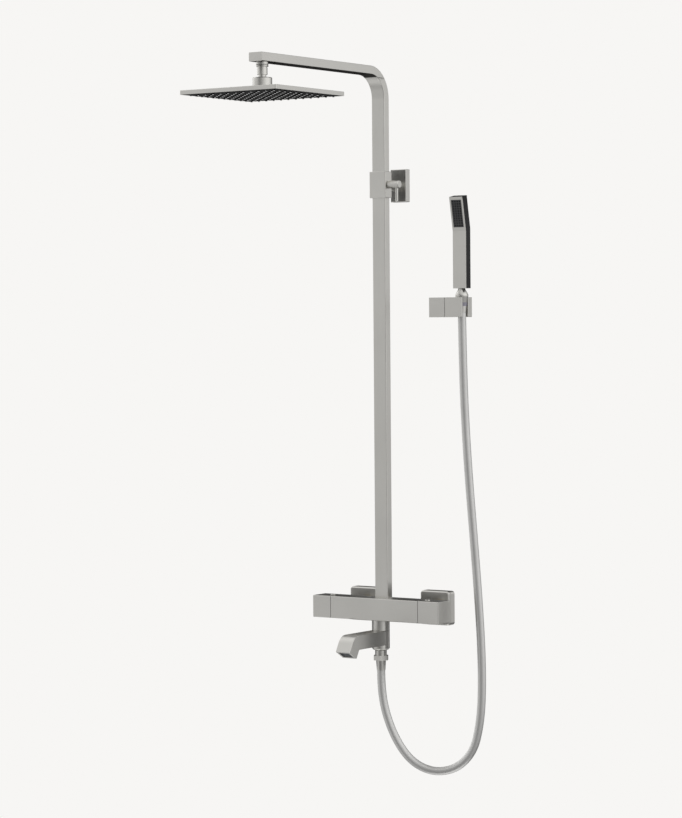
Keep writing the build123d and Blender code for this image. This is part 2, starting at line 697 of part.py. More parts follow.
with BuildPart() as clamp_lever_pin:
    pin = [(0, bracket_z + 3), (2.85, bracket_z + 3), (2.85, bracket_z - 29), (1.85, bracket_z - 30),
           (0, bracket_z - 30)]
    revolve(profile(upright(lever_pin_x, lever_y), pin), axis=upright_axis(lever_pin_x, lever_y))
save(clamp_lever_pin, "clamp_lever_pin")

# ---- hand shower holder -------------------------------------------------
base_x = (holder_left + holder_split) / 2
spigot = 5.5
flange = 13.0
screw_offset = 9.2
with BuildPart() as holder_base:
    with Locations((base_x, (holder_front + holder_rear) / 2, tilt_z)):
        Box(holder_split - holder_left, holder_rear - holder_front, holder_top_z - holder_base_z)
    fillet(holder_base.edges(), 0.7)
    with Locations(Location((base_x, holder_rear, tilt_z), (90, 0, 0))):
        Cylinder(spigot + 0.05, 12.2, mode=Mode.SUBTRACT, align=(Align.CENTER, Align.CENTER, Align.MIN))
    with Locations(Location((holder_split, tilt_y, tilt_z), (0, -90, 0))):
        Cylinder(pivot_radius + 0.02, 13.2, mode=Mode.SUBTRACT, align=(Align.CENTER, Align.CENTER, Align.MIN))
save(holder_base, "holder_base")

with BuildPart() as holder_flange:
    disc = [(0, 0), (0, flange), (holder_rear, flange), (holder_rear, spigot), (holder_rear - 12, spigot),
            (holder_rear - 12, 0)]
    flange_plane = Plane(origin=(base_x, 0, tilt_z), x_dir=(0, 1, 0), z_dir=(1, 0, 0))
    revolve(profile(flange_plane, disc), axis=inlet_axis(base_x, tilt_z))
    for x in (base_x - screw_offset, base_x + screw_offset):
        with Locations(Location((x, holder_rear, tilt_z), (-90, 0, 0))):
            Cylinder(2.55, 10, mode=Mode.SUBTRACT, align=(Align.CENTER, Align.CENTER, Align.MIN))
            Cone(3.7, 2.55, 2.4, mode=Mode.SUBTRACT, align=(Align.CENTER, Align.CENTER, Align.MIN))
save(holder_flange, "holder_flange")

with BuildPart() as holder_screws:
    for x in (base_x - screw_offset, base_x + screw_offset):
        screw = [(holder_rear + 0.1, 0), (holder_rear + 0.1, 3.5), (holder_rear + 1.4, 2.5), (0, 2.5), (0, 2),
                 (26, 2), (31, 0.5), (31, 0)]
        screw_plane = Plane(origin=(x, 0, tilt_z), x_dir=(0, 1, 0), z_dir=(1, 0, 0))
        revolve(profile(screw_plane, screw), axis=inlet_axis(x, tilt_z))
save(holder_screws, "holder_screws")

with BuildPart() as holder_pivot:
    with Locations(Location((holder_split - 13, tilt_y, tilt_z), (0, 90, 0))):
        Cylinder(pivot_radius, 23, align=(Align.CENTER, Align.CENTER, Align.MIN))
save(holder_pivot, "holder_pivot")

fork_left = holder_split + 0.4
seat_slope = 0.21
seat_base = 536.0


def seat_radius(z):
    """Radius of the fork's conical seat at a height."""
    return slot_half + seat_slope * (z - seat_base)


with BuildPart() as holder_fork:
    with Locations(((fork_left + holder_right) / 2, (holder_front + holder_rear) / 2, tilt_z)):
        Box(holder_right - fork_left, holder_rear - holder_front, holder_top_z - holder_base_z)
    fillet(holder_fork.edges(), 0.7)
    with BuildSketch(Plane.XZ.offset(16.85)):
        with Locations(((fork_left + holder_right) / 2, tilt_z)):
            Rectangle(holder_right - fork_left + 2, holder_top_z - holder_base_z + 2)
            Rectangle(holder_right - fork_left - 0.9, holder_top_z - holder_base_z - 0.9, mode=Mode.SUBTRACT)
    extrude(amount=0.5, mode=Mode.SUBTRACT)
    with Locations((cone_x, cone_y, tilt_z)):
        Cylinder(slot_half, 60, mode=Mode.SUBTRACT)
        Box(20, 2 * slot_half, 60, mode=Mode.SUBTRACT, align=(Align.MIN, Align.CENTER, Align.CENTER))
    seat = [(0, seat_base), (slot_half, seat_base), (seat_radius(548), 548), (0, 548)]
    revolve(profile(upright(cone_x, cone_y), seat), axis=upright_axis(cone_x, cone_y), mode=Mode.SUBTRACT)
    with Locations(Location((fork_left, tilt_y, tilt_z), (0, 90, 0))):
        Cylinder(pivot_radius + 0.06, 10, mode=Mode.SUBTRACT, align=(Align.CENTER, Align.CENTER, Align.MIN))
save(holder_fork, "holder_fork")

# ---- hand shower --------------------------------------------------------
lean = math.radians(handset_lean)
handset_x = cone_x + 0.1


def front_point(depth, up):
    """A point of the leaning head, (y, z): depth behind its front face, up along it from the bend."""
    return (handset_front + depth * math.cos(lean) - up * math.sin(lean),
            handset_bend + depth * math.sin(lean) + up * math.cos(lean))


def bend_point(depth):
    """Where the body's upright surface at this depth meets the head's leaning one."""
    return (handset_front + depth, handset_bend + depth * math.tan(lean / 2))


def handset_outline(front, back, low, top):
    """Side outline, (y, z), between two depths and two ends."""
    return [(handset_front + front, low), bend_point(front), front_point(front, top), front_point(back, top),
            bend_point(back), (handset_front + back, low)]


handset_plane = Plane.YZ.offset(handset_x)
spray_low = 6.9
spray_high = 55.0
spray_width = 20.7
spray_mid = (spray_low + spray_high) / 2
face_plane = Plane(origin=(handset_x, handset_front, handset_bend), x_dir=(1, 0, 0),
                   z_dir=(0, -math.cos(lean), -math.sin(lean)))

with BuildPart() as handset_back_shell:
    extrude(profile(handset_plane, handset_outline(front_skin, handset_depth, handset_base, handset_head)),
            amount=handset_width / 2, both=True)
    fillet(handset_back_shell.faces().sort_by(Axis.Y)[-1].edges().filter_by(Axis.Z), 1.0)
    hollow = handset_outline(front_skin, handset_depth - shell_wall, handset_base + 2,
                             handset_head - shell_wall)
    extrude(profile(handset_plane, hollow), amount=handset_width / 2 - shell_wall, both=True,
            mode=Mode.SUBTRACT)
    with Locations((cone_x, cone_y, handset_base)):
        Cylinder(4.85, 6, mode=Mode.SUBTRACT)
save(handset_back_shell, "handset_back_shell")

with BuildPart() as handset_front_shell:
    extrude(profile(handset_plane, handset_outline(0, front_skin, handset_base, handset_head)),
            amount=handset_width / 2, both=True)
    with BuildSketch(face_plane):
        with Locations((0, spray_mid)):
            RectangleRounded(spray_width, spray_high - spray_low, 1)
    extrude(amount=-3 * front_skin, mode=Mode.SUBTRACT)
save(handset_front_shell, "handset_front_shell")

with BuildPart() as handset_spray_plate:
    with BuildSketch(face_plane.offset(-front_skin - 1.4)):
        with Locations((0, spray_mid)):
            RectangleRounded(spray_width + 1.6, spray_high - spray_low + 1.6, 1)
    extrude(amount=1.4)
    with BuildSketch(face_plane.offset(-front_skin)):
        with Locations((0, spray_mid)):
            RectangleRounded(spray_width - 0.2, spray_high - spray_low - 0.2, 0.9)
    extrude(amount=front_skin - 0.3)
    with BuildSketch(face_plane.offset(-0.3)):
        with Locations((0, spray_mid)):
            with GridLocations(4.7, 4.2, 4, 11):
                Circle(0.95)
    extrude(amount=0.7, taper=8)
save(handset_spray_plate, "handset_spray_plate")

with BuildPart() as handset_connector:
    stub = [(3, 549), (4.8, 549), (4.8, handset_base + 2), (5.2, handset_base + 2), (5.2, handset_base + 4),
            (3, handset_base + 4)]
    revolve(profile(upright(cone_x, cone_y), stub), axis=upright_axis(cone_x, cone_y))
save(handset_connector, "handset_connector")

with BuildPart() as hose_cone_nut:
    cone = [(4.9, handset_base), (5.9, handset_base), (6.4, 560.2), (7.9, 557.2), (9.9, 553.8), (11, 551.6),
            (11.4, 550.2), (11.4, 549.3), (seat_radius(548) - 0.05, 548), (slot_half - 0.05, seat_base),
            (7.3, cone_base), (6.6, cone_base), (6.6, 546), (4.9, 548)]
    revolve(profile(upright(cone_x, cone_y), cone), axis=upright_axis(cone_x, cone_y))
save(hose_cone_nut, "hose_cone_nut")
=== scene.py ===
"""Rainfall shower column: the looks. Metres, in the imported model's own frame."""
import json
import math

import bmesh
import bpy
from mathutils import Matrix, Vector


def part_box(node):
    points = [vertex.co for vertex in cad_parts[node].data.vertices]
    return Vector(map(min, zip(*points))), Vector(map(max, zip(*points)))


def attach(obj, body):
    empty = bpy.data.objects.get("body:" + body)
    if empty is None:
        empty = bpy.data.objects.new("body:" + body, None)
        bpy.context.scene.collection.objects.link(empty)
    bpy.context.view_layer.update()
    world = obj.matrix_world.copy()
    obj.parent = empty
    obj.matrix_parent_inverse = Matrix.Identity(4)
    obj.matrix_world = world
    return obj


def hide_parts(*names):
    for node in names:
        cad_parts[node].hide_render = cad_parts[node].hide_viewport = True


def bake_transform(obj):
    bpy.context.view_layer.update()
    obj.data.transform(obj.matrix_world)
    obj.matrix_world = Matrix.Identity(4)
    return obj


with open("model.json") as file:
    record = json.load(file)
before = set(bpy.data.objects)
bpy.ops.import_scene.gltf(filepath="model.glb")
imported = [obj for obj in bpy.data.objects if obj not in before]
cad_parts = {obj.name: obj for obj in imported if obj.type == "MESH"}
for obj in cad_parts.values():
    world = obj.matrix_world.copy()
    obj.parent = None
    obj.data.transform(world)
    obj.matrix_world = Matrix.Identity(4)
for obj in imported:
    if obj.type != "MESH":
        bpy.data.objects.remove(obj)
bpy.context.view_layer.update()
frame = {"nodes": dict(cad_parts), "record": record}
nodes = frame["nodes"]
body_of_node = {n: b for b, ns in frame["record"]["behaviour"]["bodies"].items() for n in ns}

# ---- places on the object -----------------------------------------------
INLETS = (("left", -0.075), ("right", 0.075))
BAR_Y = -0.0775
CONE = Vector((0.1442, -0.0325))
SPRAY_BASE_Z = 0.661
SPRAY_LEAN = math.radians(10.8)
SPRAY_AHEAD = Vector((0, -math.cos(SPRAY_LEAN), -math.sin(SPRAY_LEAN)))
SPRAY_UP = Vector((0, -math.sin(SPRAY_LEAN), math.cos(SPRAY_LEAN)))


def centre(node):
    """Middle of a node's box."""
    low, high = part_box(node)
    return (Vector(low) + Vector(high)) / 2


# ---- camera -------------------------------------------------------------
AZIMUTH = math.radians(33.2441)
DISTANCE = 4.99773
EYE_HEIGHT = 0.50252
AIM_TURN = math.radians(1.274)
PITCH = math.radians(-1.7446)
ROLL = math.radians(-0.4328)
LENS = 148.27
SENSOR = 36.0


def make_camera():
    """Long lens from the front right, a little above the middle of the riser."""
    data = bpy.data.cameras.new("camera")
    data.lens = LENS
    data.sensor_width = SENSOR
    data.sensor_fit = "HORIZONTAL"
    data.clip_end = 60
    cam = bpy.data.objects.new("camera", data)
    bpy.context.scene.collection.objects.link(cam)
    yaw = AZIMUTH + AIM_TURN
    ahead = Vector((-math.sin(yaw) * math.cos(PITCH), math.cos(yaw) * math.cos(PITCH),
                    math.sin(PITCH)))
    level = Vector((math.cos(yaw), math.sin(yaw), 0))
    rise = level.cross(ahead)
    right = math.cos(ROLL) * level + math.sin(ROLL) * rise
    up = math.cos(ROLL) * rise - math.sin(ROLL) * level
    turn = Matrix((right, up, -ahead)).transposed()
    place = Vector((DISTANCE * math.sin(AZIMUTH), -DISTANCE * math.cos(AZIMUTH), EYE_HEIGHT))
    cam.matrix_world = Matrix.Translation(place) @ turn.to_4x4()
    bpy.context.scene.camera = cam


make_camera()


# ---- materials ----------------------------------------------------------
class Shader:
    """A node material built round one Principled shader."""

    def __init__(self, name, color, metallic, roughness):
        self.mat = bpy.data.materials.new(name)
        self.mat.use_nodes = True
        self.tree = self.mat.node_tree
        self.bsdf = self.tree.nodes["Principled BSDF"]
        self.bsdf.inputs["Base Color"].default_value = (*color, 1)
        self.bsdf.inputs["Metallic"].default_value = metallic
        self.bsdf.inputs["Roughness"].default_value = roughness
        self.coords = self.tree.nodes.new("ShaderNodeTexCoord")

    def noise(self, scale, detail, stretch=(1, 1, 1)):
        """A noise value in object space, stretched along the axes."""
        mapping = self.tree.nodes.new("ShaderNodeMapping")
        mapping.inputs["Scale"].default_value = stretch
        self.tree.links.new(self.coords.outputs["Object"], mapping.inputs["Vector"])
        noise = self.tree.nodes.new("ShaderNodeTexNoise")
        noise.inputs["Scale"].default_value = scale
        noise.inputs["Detail"].default_value = detail
        self.tree.links.new(mapping.outputs["Vector"], noise.inputs["Vector"])
        return noise.outputs["Fac"]

    def ramp(self, value, low, high, start=0.35, end=0.65):
        """A value or colour that runs from low to high as the input goes from start to end."""
        ramp = self.tree.nodes.new("ShaderNodeValToRGB")
        ends = [c if isinstance(c, tuple) else (c, c, c) for c in (low, high)]
        for element, place, color in zip(ramp.color_ramp.elements, (start, end), ends):
            element.position = place
            element.color = (*color, 1)
        self.tree.links.new(value, ramp.inputs["Fac"])
        return ramp.outputs["Color"]

    def drive(self, socket, value):
        """Link a texture into one of the shader's sockets."""
        self.tree.links.new(value, self.bsdf.inputs[socket])

    def bump(self, value, distance, strength):
        """Raise the surface by a texture."""
        node = self.tree.nodes.new("ShaderNodeBump")
        node.inputs["Distance"].default_value = distance
        node.inputs["Strength"].default_value = strength
        self.tree.links.new(value, node.inputs["Height"])
        self.tree.links.new(node.outputs["Normal"], self.bsdf.inputs["Normal"])


def tinted(color, by):
    """The colour, lighter or darker by a factor."""
    return tuple(min(1.0, c * by) for c in color)


SATIN = (0.60, 0.59, 0.56)
SATIN_ROUGHNESS = 0.31


def satin_metal(name, grain=(1, 1, 1)):
    """Bead-blasted satin plating with a fine grain drawn out along the piece."""
    s = Shader(name, SATIN, 1.0, SATIN_ROUGHNESS)
    cloud = s.noise(9, 3)
    s.drive("Base Color", s.ramp(cloud, tinted(SATIN, 0.975), tinted(SATIN, 1.025)))
    fine = s.noise(900, 3, grain)
    s.drive("Roughness", s.ramp(fine, SATIN_ROUGHNESS - 0.035, SATIN_ROUGHNESS + 0.045))
    s.bump(fine, 0.00003, 0.55)
    return s.mat


def machined(name, color, roughness=0.3):
    """Turned metal with faint tool rings and a little tarnish."""
    s = Shader(name, color, 1.0, roughness)
    stain = s.noise(60, 5)
    s.drive("Base Color", s.ramp(stain, tinted(color, 0.8), tinted(color, 1.1)))
    rings = s.noise(700, 2, (0.12, 1.6, 0.12))
    s.drive("Roughness", s.ramp(rings, roughness - 0.06, roughness + 0.1))
    s.bump(rings, 0.00003, 0.4)
    return s.mat


def moulded(name, color, roughness=0.45, specular=0.5):
    """Moulded plastic or rubber with a fine spark-eroded texture."""
    s = Shader(name, color, 0.0, roughness)
    s.bsdf.inputs["Specular IOR Level"].default_value = specular
    cloud = s.noise(25, 3)
    s.drive("Base Color", s.ramp(cloud, tinted(color, 0.9), tinted(color, 1.1)))
    pits = s.noise(1400, 4)
    s.drive("Roughness", s.ramp(pits, roughness - 0.05, roughness + 0.06))
    s.bump(pits, 0.00004, 0.5)
    return s.mat


def sheath(name):
    """Smooth silver hose sheath under a clear plastic skin."""
    s = Shader(name, (0.62, 0.615, 0.60), 0.58, 0.34)
    s.bsdf.inputs["Coat Weight"].default_value = 0.35
    s.bsdf.inputs["Coat Roughness"].default_value = 0.22
    cloud = s.noise(14, 3)
    s.drive("Base Color", s.ramp(cloud, (0.60, 0.595, 0.58), (0.64, 0.635, 0.62)))
    weave = s.noise(650, 2)
    s.drive("Roughness", s.ramp(weave, 0.31, 0.38))
    s.bump(weave, 0.00004, 0.35)
    return s.mat


METAL_UP = satin_metal("satin_upright", (1, 1, 0.05))
METAL_ALONG = satin_metal("satin_along", (0.05, 1, 1))
METAL_PLAIN = satin_metal("satin_plain")
BRASS = machined("machined_brass", (0.45, 0.36, 0.19))
STEEL = machined("machined_steel", (0.5, 0.5, 0.49), 0.36)
DARK_SHELL = moulded("dark_shell", (0.038, 0.038, 0.039), 0.55, specular=0.04)
# Painted shade: the head's faceplate is the head's own metal, and its near-black colour here stands in for
# its dark underside. The nozzles' sides share it.
PAINTED_SHADE_FACE = moulded("dark_face", (0.004, 0.004, 0.004), 0.6, specular=0.12)
SPRAY = moulded("spray_plate", (0.085, 0.085, 0.086), 0.5, specular=0.15)
SPRAY_NOZZLE = moulded("spray_nozzles", (0.002, 0.002, 0.002), 0.7, specular=0.04)
BAND = moulded("band_grey", (0.30, 0.29, 0.34), 0.4)
SILICONE = moulded("nozzle_silicone", (0.93, 0.93, 0.92), 0.5)
RUBBER = moulded("seal_rubber", (0.012, 0.012, 0.012), 0.6)
NYLON = moulded("inner_nylon", (0.55, 0.54, 0.5), 0.45)
AERATOR = moulded("aerator_mesh", (0.085, 0.092, 0.10), 0.4)
SHEATH = sheath("hose_sheath")

FINISHES = {
    METAL_UP: ["riser_pipe", "bracket_collar", "bracket_wall_plate", "handset_front_shell"],
    METAL_ALONG: ["mixer_body", "temperature_knob", "flow_knob", "holder_base", "holder_fork"],
    METAL_PLAIN: ["rosette_left", "rosette_right", "union_nut_left", "union_nut_right",
                  "temperature_button", "flow_button", "spout_collar", "spout", "hose_outlet", "hose_nut",
                  "hose_sleeve", "hose_cone_nut", "arm_end_cap", "arm_boss", "ball_stem", "swivel_nut",
                  "head_shell", "bracket_stem", "clamp_screw", "clamp_lever_pin"],
    BRASS: ["wall_union_left", "wall_union_right", "swivel_tube", "riser_nipple",
            "thermostatic_cartridge", "flow_cartridge", "handset_connector"],
    STEEL: ["inlet_filters", "riser_grub_screw", "holder_flange", "holder_screws", "holder_pivot",
            "bracket_screws", "temperature_knob_screw", "temperature_spring", "flow_knob_screw",
            "flow_spring"],
    DARK_SHELL: ["handset_back_shell"],
    PAINTED_SHADE_FACE: ["head_faceplate"],
    SPRAY: ["handset_spray_plate"],
    SILICONE: ["nozzle_mat"],
    RUBBER: ["spout_o_rings", "riser_o_ring", "hose_washer"],
    NYLON: ["check_valves", "knob_stop_rings", "seat_upper", "seat_lower", "clamp_pad"],
    AERATOR: ["spout_aerator"],
    SHEATH: ["shower_hose"],
}
for material, names in FINISHES.items():
    for name in names:
        nodes[name].data.materials.clear()
        nodes[name].data.materials.append(material)


# ---- mesh helpers -------------------------------------------------------
HARD_ANGLE = 35
SOFT_EDGE = 0.00025


def add_piece(name, mesh, material, body):
    """A new object from a mesh, riding on a body."""
    piece = bpy.data.objects.new(name, mesh)
    bpy.context.scene.collection.objects.link(piece)
    mesh.materials.clear()
    mesh.materials.append(material)
    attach(piece, body)
    return piece


def smooth(mesh, angle=HARD_ANGLE):
    """Smooth shading with hard edges left sharp."""
    for face in mesh.polygons:
        face.use_smooth = True
    mesh.set_sharp_from_angle(angle=math.radians(angle))


def to_mesh(bm, name, matrix=None):
    """Write a bmesh out as mesh data, placed by a matrix."""
    if matrix is not None:
        bmesh.ops.transform(bm, matrix=matrix, verts=bm.verts)
    mesh = bpy.data.meshes.new(name)
    bm.to_mesh(mesh)
    bm.free()
    smooth(mesh)
    return mesh


def soften(node):
    """A small bevel on a CAD node's hard edges, so that they catch the light."""
    bevel = nodes[node].modifiers.new("soft_edges", "BEVEL")
    bevel.width = SOFT_EDGE
    bevel.segments = 2
    bevel.limit_method = "ANGLE"
    bevel.angle_limit = math.radians(HARD_ANGLE)
    bevel.harden_normals = True
    bevel.use_clamp_overlap = True


# ---- threads and turned pieces ------------------------------------------
def turned(profile, threads=(), steps=64):
    """A bmesh turned about Z from (radius, height) points; each thread is (segment, pitch, depth)."""
    rows = []
    for k, (start, end) in enumerate(zip(profile, profile[1:] + profile[:1])):
        thread = [t for t in threads if t[0] == k]
        if not thread:
            rows.append((start, None))
            continue
        _, pitch, depth = thread[0]
        count = max(2, round(abs(end[1] - start[1]) / pitch * 8))
        for j in range(count):
            share = j / count
            rows.append((tuple(a + (b - a) * share for a, b in zip(start, end)), (pitch, depth)))
    bm = bmesh.new()
    rings = []
    for (radius, height), thread in rows:
        ring = []
        for k in range(steps):
            angle = 2 * math.pi * k / steps
            r = radius
            if thread:
                phase = (height / thread[0] - k / steps) % 1
                r -= thread[1] * abs(2 * phase - 1)
            ring.append(bm.verts.new((r * math.cos(angle), r * math.sin(angle), height)))
        rings.append(ring)
    for low, high in zip(rings, rings[1:] + rings[:1]):
        for k in range(steps):
            n = (k + 1) % steps
            bm.faces.new((low[k], low[n], high[n], high[k]))
    bmesh.ops.recalc_face_normals(bm, faces=bm.faces)
    return bm


def join_copies(make, places, name, turn=None):
    """One mesh from copies of a bmesh at several places."""
    whole = bmesh.new()
    for place in places:
        bm = make()
        matrix = Matrix.Translation(place) @ (turn or Matrix())
        bmesh.ops.transform(bm, matrix=matrix, verts=bm.verts)
        part = bpy.data.meshes.new("part")
        bm.to_mesh(part)
        bm.free()
        whole.from_mesh(part)
        bpy.data.meshes.remove(part)
    return to_mesh(whole, name)


INTO_WALL = Matrix.Rotation(math.radians(-90), 4, "X")
INLET_PITCH = 0.001814
INLET_THREAD_DEPTH = 0.0011


def make_unions():
    """Wall unions with cut threads at both ends."""
    for side, x in INLETS:
        profile = [(0.008, 0.015), (0.0095, 0.015), (0.01048, 0.014), (0.01048, 0.0), (0.0132, 0.0),
                   (0.0132, -0.029), (0.0132, -0.0435), (0.008, -0.0435)]
        bm = turned(profile, [(segment, INLET_PITCH, INLET_THREAD_DEPTH) for segment in (2, 5)])
        mesh = to_mesh(bm, f"union_{side}", Matrix.Translation((x, 0, 0)) @ INTO_WALL)
        piece = add_piece(f"union_{side}", mesh, BRASS, "root")
        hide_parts(f"wall_union_{side}")


def make_screws():
    """Fixing screws with cut threads, for the bracket and for the hand shower holder."""
    bracket = [(0.0001, -0.0088), (0.0035, -0.0088), (0.0035, 0), (0.003, 0), (0.003, 0.015),
               (0.0006, 0.019), (0.0001, 0.019)]
    holder = [(0.0001, -0.0099), (0.0035, -0.0099), (0.0025, -0.0086), (0.0025, 0), (0.002, 0),
              (0.002, 0.026), (0.0005, 0.031), (0.0001, 0.031)]
    # Each kind's thread is (segment of the profile, pitch, depth).
    for node, body, profile, thread, places in (
            ("bracket_screws", "bracket", bracket, (3, 0.0014, 0.0006),
             [(0, 0, 0.726), (0, 0, 0.764)]),
            ("holder_screws", "root", holder, (4, 0.0012, 0.0005),
             [(0.09215, 0, 0.5293), (0.11055, 0, 0.5293)])):
        mesh = join_copies(lambda: turned(profile, [thread], 40), places, node + "_cut", INTO_WALL)
        piece = add_piece(node + "_cut", mesh, STEEL, body)
        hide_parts(node)


HEAD_NOZZLES = 12
HEAD_PITCH = 0.0153
MAT_THICKNESS = 0.0012
# Height of the pale nozzle tip. Above it the silicone is coloured near-black as painted shade.
PAINTED_SHADE_ABOVE_TIP = 0.0012


def make_nozzles():
    """The silicone mat: a sheet behind the faceplate with rounded hollow nozzles through it. Above a pale
    tip, the nozzles' sides and the sheet are given the faceplate's near-black as painted shade.
    """
    low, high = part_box("nozzle_mat")
    tip, sheet = low[2], high[2] - MAT_THICKNESS
    shape = [(0.0005, sheet), (0.0019, sheet), (0.00172, tip + 0.0007), (0.00152, tip + 0.00022),
             (0.00118, tip), (0.00078, tip + 0.0001), (0.0005, tip + 0.0008)]
    middle = centre("nozzle_mat")
    steps = [(i - (HEAD_NOZZLES - 1) / 2) * HEAD_PITCH for i in range(HEAD_NOZZLES)]
    places = [(middle.x + across, middle.y + along, 0) for across in steps for along in steps]
    mesh = join_copies(lambda: turned(shape, steps=16), places, "nozzles")
    bm = bmesh.new()
    bm.from_mesh(mesh)
    size = Vector(high) - Vector(low)
    sheet_matrix = Matrix.Translation((middle.x, middle.y, (sheet + high[2]) / 2)) @ Matrix.Diagonal(
        (size.x, size.y, high[2] - sheet, 1))
    bmesh.ops.create_cube(bm, size=1, matrix=sheet_matrix)
    bm.to_mesh(mesh)
    bm.free()
    smooth(mesh, 50)
    piece = add_piece("nozzles", mesh, SILICONE, body_of_node["nozzle_mat"])
    mesh.materials.append(PAINTED_SHADE_FACE)
    # Painted shade: every face above the pale tip takes the faceplate's near-black instead of the
    # silicone's own colour.
    for face in mesh.polygons:
        face.material_index = 0 if face.center.z < tip + PAINTED_SHADE_ABOVE_TIP else 1
    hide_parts("nozzle_mat")


def make_band():
    """Grey plastic ring let into the hose's cone nut, seen through the holder's slot."""
    profile = [(0.00797, 0.5311), (0.00837, 0.5311), (0.00883, 0.536), (0.009145, 0.5375),
               (0.008745, 0.5375), (0.00843, 0.536)]
    mesh = to_mesh(turned(profile), "cone_band", Matrix.Translation((CONE.x, CONE.y, 0)))
    piece = add_piece("cone_band", mesh, BAND, "handset")


NOZZLE_RISE = 0.0006
SPRAY_GRID = (4, 11)
SPRAY_PITCH = (0.0047, 0.0042)
SPRAY_FORWARD = 0.00735
SPRAY_HALF_LENGTH = 0.03095
FOOT_SINK = 0.0003


def mark_spray_nozzles():
    """The hand shower's nozzles are darker than the plate that they stand on."""
    mesh = nodes["handset_spray_plate"].data
    mesh.materials.append(SPRAY_NOZZLE)
    to_world = nodes["handset_spray_plate"].matrix_world
    depth = [max((to_world @ mesh.vertices[v].co).dot(SPRAY_AHEAD) for v in face.vertices)
             for face in mesh.polygons]
    flat = max(depth) - NOZZLE_RISE
    for face, reach in zip(mesh.polygons, depth):
        face.material_index = 1 if reach > flat else 0


def make_spray_feet():
    """A dark rubber foot round each nozzle of the hand shower."""
    foot = [(0.0006, -0.0001), (0.0012, -0.0001), (0.0012, 0.00006), (0.00105, 0.0002),
            (0.0006, 0.0002)]
    base = Vector((CONE.x, CONE.y - SPRAY_FORWARD, SPRAY_BASE_Z))
    middle = base + SPRAY_UP * SPRAY_HALF_LENGTH - SPRAY_AHEAD * FOOT_SINK
    across, along = SPRAY_GRID
    places = [middle + Vector(((i - (across - 1) / 2) * SPRAY_PITCH[0], 0, 0))
              + SPRAY_UP * (j - (along - 1) / 2) * SPRAY_PITCH[1]
              for i in range(across) for j in range(along)]
    tilt = Vector((0, 0, 1)).rotation_difference(SPRAY_AHEAD).to_matrix().to_4x4()
    mesh = join_copies(lambda: turned(foot, steps=20), places, "spray_feet", tilt)
    add_piece("spray_feet", mesh, SPRAY_NOZZLE, "handset")


def make_springs():
    """The button springs, taken from the CAD as pieces of their own."""
    for knob in ("temperature", "flow"):
        node = nodes[f"{knob}_spring"]
        mesh = node.data.copy()
        mesh.transform(node.matrix_world)
        piece = bpy.data.objects.new(f"{knob}_coil", mesh)
        bpy.context.scene.collection.objects.link(piece)
        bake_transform(piece)
        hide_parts(f"{knob}_spring")


# ---- hose ---------------------------------------------------------------
HOSE_RADIUS = 0.00715
# Control points of the hose: (distance out from the outlet, height).
HOSE_ROUTE = [(0, -0.1081), (0, -0.142), (0.009, -0.189), (0.029, -0.236), (0.0575, -0.271),
              (0.097, -0.286), (0.138, -0.277), (0.1675, -0.246), (0.1785, -0.201), (0.183, -0.152),
              (0.183, -0.08), (0.1785, 0.01), (0.17, 0.125), (0.1606, 0.245), (0.1543, 0.36),
              (0.1519, 0.455), (0.15106, 0.5198)]


def hose_curve(name, bevel):
    """The hose's own spline, in the upright plane through the outlet and the hand shower's cone."""
    span = math.hypot(CONE.x, CONE.y - BAR_Y)
    data = bpy.data.curves.new(name, "CURVE")
    data.dimensions = "3D"
    spline = data.splines.new("NURBS")
    spline.points.add(len(HOSE_ROUTE) - 1)
    for point, (out, z) in zip(spline.points, HOSE_ROUTE):
        point.co = (CONE.x * out / span, BAR_Y + (CONE.y - BAR_Y) * out / span, z, 1)
    spline.order_u = 3
    spline.use_endpoint_u = True
    spline.resolution_u = 16
    data.bevel_depth = bevel
    data.bevel_resolution = 8
    data.use_fill_caps = bevel > 0
    curve = bpy.data.objects.new(name, data)
    bpy.context.scene.collection.objects.link(curve)
    return curve


def make_hose():
    """A smooth sheathed tube along the hose's spline."""
    line = hose_curve("hose_line", 0)
    tube = hose_curve("hose_tube", HOSE_RADIUS)
    depsgraph = bpy.context.evaluated_depsgraph_get()
    line_mesh = bpy.data.meshes.new_from_object(line.evaluated_get(depsgraph))
    mesh = bpy.data.meshes.new_from_object(tube.evaluated_get(depsgraph))
    mesh.name = "hose"
    smooth(mesh, 60)
    for curve in (line, tube):
        bpy.data.objects.remove(curve)
    hose = bpy.data.objects.new("hose", mesh)
    bpy.context.scene.collection.objects.link(hose)
    mesh.materials.clear()
    mesh.materials.append(SHEATH)
    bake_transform(hose)
    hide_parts("shower_hose")


def make_hose_end():
    """The hose's inner end, which shows under the cone nut when the hand shower is lifted."""
    profile = [(0.006, 0.4935), (0.0065, 0.4935), (0.0065, 0.5205), (0.006, 0.5205)]
    mesh = to_mesh(turned(profile), "hose_end", Matrix.Translation((CONE.x, CONE.y, 0)))
    add_piece("hose_end", mesh, SHEATH, "handset")


make_hose()
make_hose_end()
make_unions()
make_screws()
make_nozzles()
make_springs()
make_band()
mark_spray_nozzles()
make_spray_feet()
for node in ("handset_front_shell", "hose_nut", "union_nut_left", "union_nut_right"):
    soften(node)


